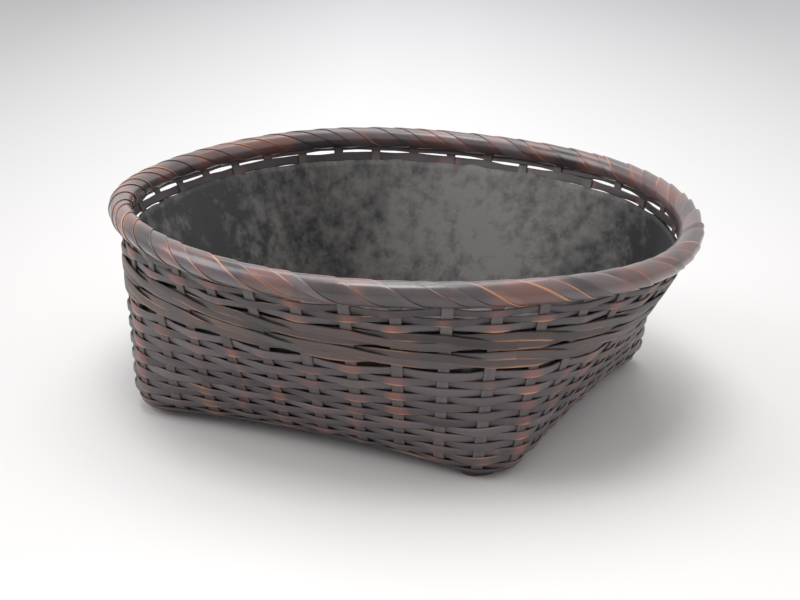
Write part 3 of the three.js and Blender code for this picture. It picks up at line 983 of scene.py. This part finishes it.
    def floor_edge(self, finish: bpy.types.Material) -> None:
        """The strand that lies in the fold, under the lowest row.

        Args:
            finish: its material.
        """
        waver = Wander(self.edge_seed, 2 * FORM.stakes, self.edge_reach)
        breadth = Wander(self.edge_seed + 1, FORM.stakes, self.edge_breadth)
        spine = self.spine(self.edge_height, lambda s: (self.edge_out, 0.0), waver, breadth)
        for point in spine:
            point.wear = 0.0
        piece = strip("bamboo_floor_edge", spine, self.edge_section, True, self.edge_tone, 0.0)
        settle(piece, finish, "weavers", "plain_row_1")

    def build(self) -> None:
        """Make every row, from the bottom up."""
        weaver = WEAVER_BAMBOO.material()
        waling = WALING_BAMBOO.material()
        self.floor_edge(weaver)
        for i in range(self.plain_rows):
            self.row(f"plain_row_{i + 1}", Course.PLAIN, self.plain_start + i * self.plain_pitch,
                     self.plain_step(i), self.plain_seed + self.seed_step * i, weaver)
        for i in range(self.wale_courses):
            for j in range(self.wale_strands):
                seed = self.wale_seed + self.seed_step * (i * self.wale_strands + j)
                self.row(f"waling_{i + 1}_strand_{j + 1}", Course.WALING,
                         self.wale_start + i * self.wale_pitch, self.wale_step(j), seed, waling)
        for i in range(self.thin_rows):
            self.row(f"thin_row_{i + 1}", Course.THIN, self.thin_start + i * self.thin_pitch,
                     self.thin_step(i), self.thin_seed + self.seed_step * i, weaver,
                     self.far_widths[i])


@dataclass
class PaperLining:
    """The bowl of pasted paper inside the weave, lacquered black."""

    offset: float = 2.6 * MM
    thickness: float = 0.8 * MM
    top: float = 74.6 * MM
    top_reach: float = 0.6 * MM
    ridge: float = 0.2 * MM
    steps: int = 240
    floor_rings: int = 8
    fold_rings: int = 6
    wall_rings: int = 22
    floor_share: float = 0.97
    ridge_growth: float = 8.0
    lip_seed: int = 91
    lip_knots: int = 96

    def __post_init__(self) -> None:
        """Draw the uneven lip."""
        self.lip = Wander(self.lip_seed, self.lip_knots, self.top_reach)

    def place(self, s: float, ring: int) -> Vector:
        """A point of the bowl's outer face.

        Args:
            s: place number.
            ring: number of the ring, counted from the middle of the floor.

        Returns:
            The point.
        """
        if ring <= self.floor_rings:
            share = ring / self.floor_rings * self.floor_share
            x, y = (v * share for v in FORM.outline(s, FORM.fold_radius))
            return Vector((*FORM.skewed(x, y), FORM.floor_at(x, y) + self.offset))
        ring -= self.floor_rings
        if ring <= self.fold_rings:
            t = ring / self.fold_rings * FORM.fold_radius / FORM.wall_height
        else:
            low = FORM.fold_radius
            share = (ring - self.fold_rings) / self.wall_rings
            top = self.top + self.lip.at(s / FORM.stakes)
            t = (low + (top - low) * share) / FORM.wall_height
        swell = -self.ridge * math.cos(2 * math.pi * s) * min(1.0, t * self.ridge_growth)
        return FORM.wall(s, t) - FORM.wall_axes(s, t)[1] * (self.offset + swell)

    def build(self) -> None:
        """Make the lining."""
        rings = self.floor_rings + self.fold_rings + self.wall_rings
        mesh = bmesh.new()
        bmesh.ops.create_grid(mesh, x_segments=self.steps, y_segments=rings, size=0.5)
        for vert in mesh.verts:
            i = round((vert.co.x + 0.5) * self.steps) % self.steps
            ring = round((vert.co.y + 0.5) * rings)
            vert.co = self.place(i / self.steps * FORM.stakes, ring)
        bmesh.ops.remove_doubles(mesh, verts=mesh.verts, dist=WELD)
        bmesh.ops.recalc_face_normals(mesh, faces=mesh.faces)
        if sum(face.normal.z * face.calc_area() for face in mesh.faces) > 0:
            bmesh.ops.reverse_faces(mesh, faces=mesh.faces)
        bmesh.ops.solidify(mesh, geom=mesh.faces, thickness=self.thickness)
        for face in mesh.faces:
            face.smooth = True
        settle(finished("lacquered_lining", mesh), LacqueredPaper().material(), "lining", "paper_lining")


@dataclass
class RimCore:
    """The two hoops that grip the stake ends, and the filler on top of them."""

    channel: float = 0.85 * MM
    hoop: StripSection = StripSection(4.6 * MM, 2.4 * MM)
    filler: StripSection = StripSection(3.0 * MM, 1.1 * MM)
    filler_low: float = 0.35 * MM
    steps: int = 144

    def ring(self, name: str, radial: float, up: float, section: StripSection,
             finish: bpy.types.Material) -> None:
        """Make one ring of the core.

        Args:
            name: its node.
            radial: distance of its middle outwards from the roll's middle line.
            up: distance of its middle upwards from that line.
            section: its cross-section.
            finish: its material.
        """
        spine = [SpinePoint(FORM.rim_point(i / self.steps * 2 * math.pi, radial, up), UP)
                 for i in range(self.steps)]
        piece = strip(f"bamboo_{name}", spine, section, True, 0.5, 0.0)
        settle(piece, finish, "hoops", name)

    def build(self) -> None:
        """Make the core's three rings."""
        finish = HOOP_BAMBOO.material()
        middle = self.channel + self.hoop.thickness / 2
        self.ring("inner_hoop", -middle, 0.0, self.hoop, finish)
        self.ring("outer_hoop", middle, 0.0, self.hoop, finish)
        self.ring("rim_filler", 0.0, self.filler_low + self.filler.width / 2, self.filler, finish)


@dataclass
class RimWrap:
    """One long strip of bamboo skin wound slantwise over the rim, four times round.

    A turn's right-hand neighbour is the one laid a round later, so its number is a fixed step
    ahead, and each turn laps over that neighbour's edge.
    """

    turns: int = 59
    rounds: int = 4
    ahead: int = 15
    per: int = 40
    section: StripSection = StripSection(2.0, 2.0, 0.0, 0.3, 20)
    thickness: float = 0.5 * MM
    inner_radius: float = 4.75 * MM
    lap: float = 1.2 * MM
    lift: float = 0.45 * MM
    jitter: float = 0.42
    start: float = -math.pi / 2
    end_gap: float = 0.12
    loose_turn: float = 1.12
    loose_spread: float = 0.3
    loose_lift: float = 1.3 * MM
    loose_side: float = 0.9
    wear: float = 0.75
    slant: float = 1.6
    seed: int = 71

    def __post_init__(self) -> None:
        """Draw the turns' wavering and tones."""
        dice = random.Random(self.seed)
        self.waver = Wander(self.seed + 1, self.turns, self.jitter)
        self.tones = [dice.uniform(0.0, 1.0) for _ in range(self.turns + 1)]

    def edge(self, wound: float) -> float:
        """Angle along the rim of the strip's left edge.

        Args:
            wound: how many turns have been wound so far.

        Returns:
            The angle, which goes on growing from round to round.
        """
        waver = self.waver.at(wound / self.turns)
        return (self.rounds * wound + waver) / self.turns * 2 * math.pi + math.pi

    def place(self, i: int, j: int) -> Placed:
        """Where a corner of the strip lies.

        Args:
            i: number of the section along the strip.
            j: number of the corner round it.

        Returns:
            Its place and marks.
        """
        gap = self.end_gap / (2 * math.pi)
        wound = gap + i / (self.turns * self.per) * (self.turns - 2 * gap)
        roll = self.start + wound * 2 * math.pi
        x, y = self.section.point(j / self.section.corners)
        share = (x + 1) / 2
        left = self.edge(wound)
        passed = self.rounds * self.ahead // self.turns
        right = self.edge(wound + self.ahead) - passed * 2 * math.pi + self.lap / FORM.rim_radius
        turn = left + (right - left) * share
        away = abs((turn - self.loose_turn + math.pi) % (2 * math.pi) - math.pi) / self.loose_spread
        facing = max(0.0, -math.cos(roll + self.loose_side)) ** 3
        loose = self.loose_lift * math.exp(-away * away) * facing * share
        lifted = self.lift * share * share * (3 - 2 * share)
        radius = self.inner_radius + self.thickness * (y + 1) / 2 + lifted + loose
        spot = FORM.rim_point(turn, -radius * math.cos(roll), radius * math.sin(roll))
        return Placed(spot, self.wear, x, self.tones[int(wound)])

    def build(self) -> None:
        """Make the wrapping."""
        steps = self.turns * self.per
        length = self.turns * 2 * math.pi * self.inner_radius * self.slant
        width = 4 * math.pi * FORM.rim_radius / self.turns
        piece = swept("bamboo_rim_wrap", steps, self.section.corners, False, (length, width), 0.0,
                      self.place)
        settle(piece, WRAP_BAMBOO.material(), "rim_wrap", "rim_wrap")


@dataclass(frozen=True)
class Lamp:
    """A square soft lamp that faces the basket: its place, the length of its side, its watts."""

    name: str
    place: Triple
    size: float
    power: float
    target: Triple = (0.0, 0.0, 0.05)

    def hang(self) -> None:
        """Hang the lamp in its place."""
        data = bpy.data.lights.new(self.name, "AREA")
        data.shape = "SQUARE"
        data.size = self.size
        data.energy = self.power
        lamp = bpy.data.objects.new(self.name, data)
        bpy.context.scene.collection.objects.link(lamp)
        lamp.location = self.place
        ahead = Vector(self.target) - Vector(self.place)
        lamp.rotation_euler = ahead.to_track_quat("-Z", "Y").to_euler()


@dataclass
class Studio:
    """A pale floor, soft lamps, and a camera where the photographer stood."""

    camera_at: Triple = (0.2986, -0.6785, 0.2992)
    look_at: Triple = (-0.0012, -0.0005, 0.0426)
    camera_roll: float = math.radians(2.217)
    lens: float = 72.42
    sensor: float = 36.0
    floor_radius: float = 9.0
    floor_sides: int = 96
    near_tint: Colour = rgb(217, 217, 217)
    # the floor's colour far off, darkened: painted shade for the light's falloff
    far_shaded_tint: Colour = rgb(203, 204, 207)
    depths: tuple[float, float] = (0.1, 1.25)
    sides: tuple[float, float] = (0.05, 0.4)
    left_side: tuple[float, float] = (0.05, 0.5)
    side_shade: float = 0.18
    sky: Colour = (1.0, 0.97, 0.96, 1.0)
    sky_strength: float = 0.86
    lamps: tuple[Lamp, ...] = (
        Lamp("top_lamp", (-0.3, 0.5, 1.4), 1.1, 9.5),
        Lamp("near_lamp", (-0.02, -0.24, 1.3), 0.5, 6.0),
        Lamp("left_lamp", (-1.3, -0.7, 0.9), 1.0, 9.0),
    )

    def camera(self) -> None:
        """Set up the camera."""
        data = bpy.data.cameras.new("camera")
        data.sensor_fit = "HORIZONTAL"
        data.sensor_width = self.sensor
        data.lens = self.lens
        data.clip_start = 0.01
        data.clip_end = 50.0
        data.dof.use_dof = False
        eye = bpy.data.objects.new("camera", data)
        bpy.context.scene.collection.objects.link(eye)
        ahead = (Vector(self.look_at) - Vector(self.camera_at)).normalized()
        level = ahead.cross(UP).normalized()
        head = level.cross(ahead)
        c, n = math.cos(self.camera_roll), math.sin(self.camera_roll)
        right = level * c + head * n
        top = head * c - level * n
        eye.matrix_world = Matrix((right, top, -ahead)).transposed().to_4x4()
        eye.location = self.camera_at
        bpy.context.scene.camera = eye

    def floor(self) -> None:
        """Lay the pale floor, with painted shade that darkens it with the distance and towards the sides,
        in place of the light's falloff.
        """
        mesh = bmesh.new()
        bmesh.ops.create_circle(mesh, cap_ends=True, radius=self.floor_radius, segments=self.floor_sides)
        floor = finished("floor", mesh)
        board = Board("pale_floor")
        away = Vector(self.look_at) - Vector(self.camera_at)
        away.z = 0
        away.normalize()
        place = board.place()

        def along(way: Triple) -> bpy.types.NodeSocket:
            """How far along a direction a place on the floor lies."""
            inputs = {0: place, 1: way}
            return board.node("ShaderNodeVectorMath", inputs, operation="DOT_PRODUCT").outputs["Value"]

        left = along((-away.y, away.x, 0.0))
        # Painted shade: darker with the distance, towards both sides, and more to the left
        shaded_tint = board.mix(board.spread(along(tuple(away)), *self.depths), self.near_tint, self.far_shaded_tint)
        shade = board.spread(board.math("ABSOLUTE", left, 0.0), *self.sides, 0.0, self.side_shade)
        shade = board.math("ADD", shade, board.spread(left, *self.left_side, 0.0, self.side_shade))
        shaded_tint = board.mix(shade, shaded_tint, rgb(0, 0, 0))
        matt = board.node("ShaderNodeBsdfDiffuse", {"Color": shaded_tint})
        floor.data.materials.append(board.surface(matt.outputs["BSDF"]))

    def build(self) -> None:
        """Set the whole studio up."""
        scene = bpy.context.scene
        scene.view_settings.view_transform = "Standard"
        world = bpy.data.worlds.new("studio")
        scene.world = world
        world.use_nodes = True
        sky = world.node_tree.nodes["Background"]
        sky.inputs["Color"].default_value = self.sky
        sky.inputs["Strength"].default_value = self.sky_strength
        self.floor()
        for lamp in self.lamps:
            lamp.hang()
        self.camera()


def settle(piece: bpy.types.Object, finish: bpy.types.Material, slot: str, *nodes: str) -> None:
    """Give a piece its finish and put it in place of its nodes.

    Args:
        piece: the piece.
        finish: its material.
        slot: the name of a material slot; not used.
        nodes: the nodes that it stands for.
    """
    piece.data.materials.append(finish)
    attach(piece, "root")
    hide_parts(*nodes)
    LOG.info("%s: %d faces, for %s", piece.name, len(piece.data.polygons), ", ".join(nodes))


def main() -> None:
    """Dress the basket and set up the studio."""
    logging.basicConfig(level=logging.INFO, format="%(name)s %(message)s")
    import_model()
    Studio().build()
    FloorWeave().build()
    CornerFeet().build()
    WovenRows().build()
    PaperLining().build()
    RimCore().build()
    RimWrap().build()


if __name__ == "__main__":
    main()
